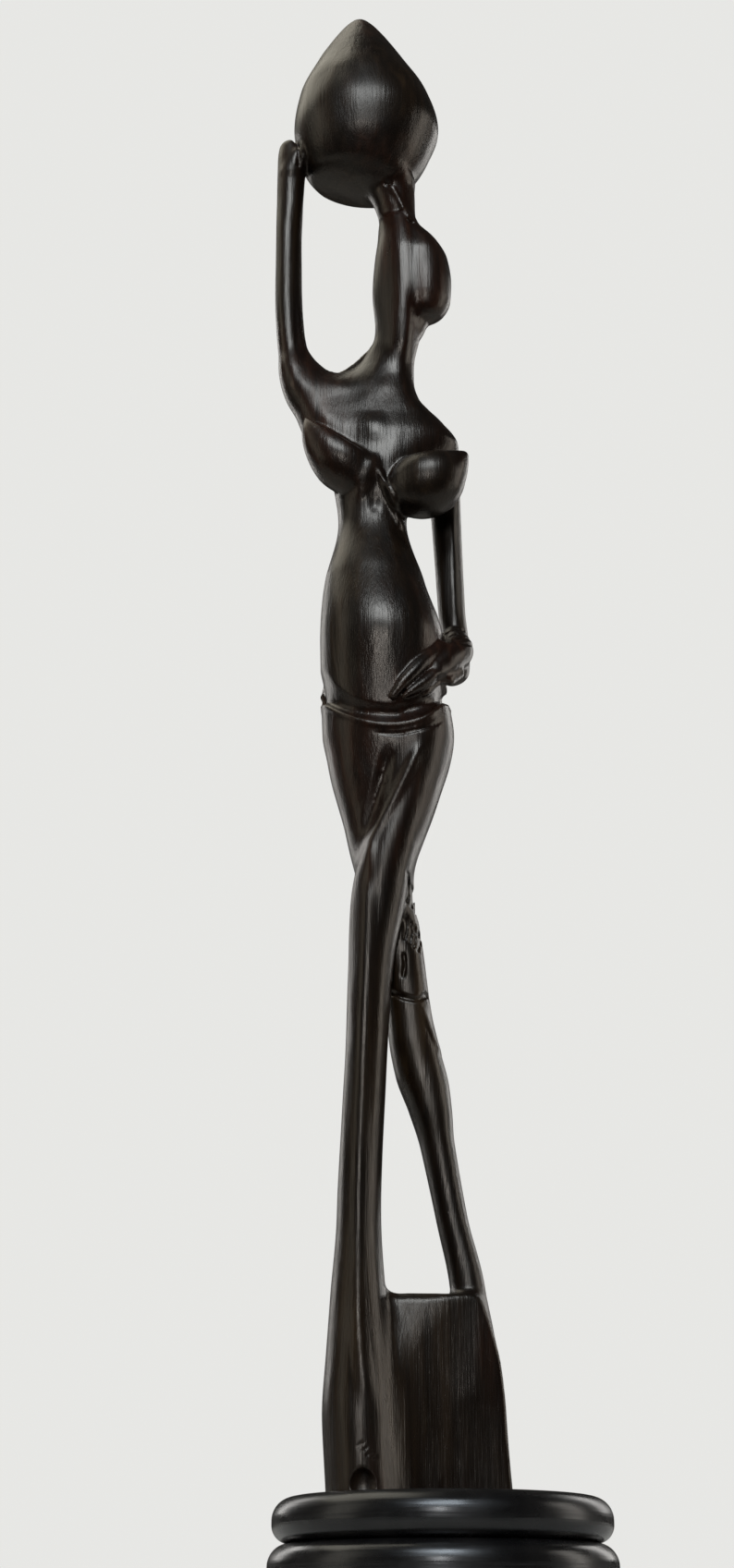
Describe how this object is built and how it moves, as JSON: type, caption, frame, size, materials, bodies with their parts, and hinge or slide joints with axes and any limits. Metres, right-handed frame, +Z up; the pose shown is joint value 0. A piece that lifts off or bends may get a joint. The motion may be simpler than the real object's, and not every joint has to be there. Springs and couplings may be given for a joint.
{
  "type": "carved wooden figure",
  "caption": "Slender dark hardwood carving of a woman steadying a pointed load on her head, legs crossed above a solid foot, on a round two-tier turned plinth.",
  "frame": {"origin": "centre of the plinth's underside, on the face that it stands on", "axes": "+Z up along the plinth's axis, -Y towards the viewer of the carving's front, +X to that viewer's right"},
  "size_m": [0.0966, 0.0928, 0.5072],
  "materials": {
    "figure_wood": "waxed dark hardwood, satin gloss",
    "plinth_wood": "black stained hardwood, satin varnish",
    "dowel_wood": "plain beech",
    "screw_brass": "plain",
    "felt": "pressed wool felt"
  },
  "bodies": {
    "root": {"carved_figure": "figure_wood", "plinth_upper_disc": "plinth_wood", "plinth_lower_disc": "plinth_wood", "locating_dowel": "dowel_wood", "fixing_screw_left": "screw_brass", "fixing_screw_right": "screw_brass", "base_felt": "felt"}
  },
  "joints": []
}
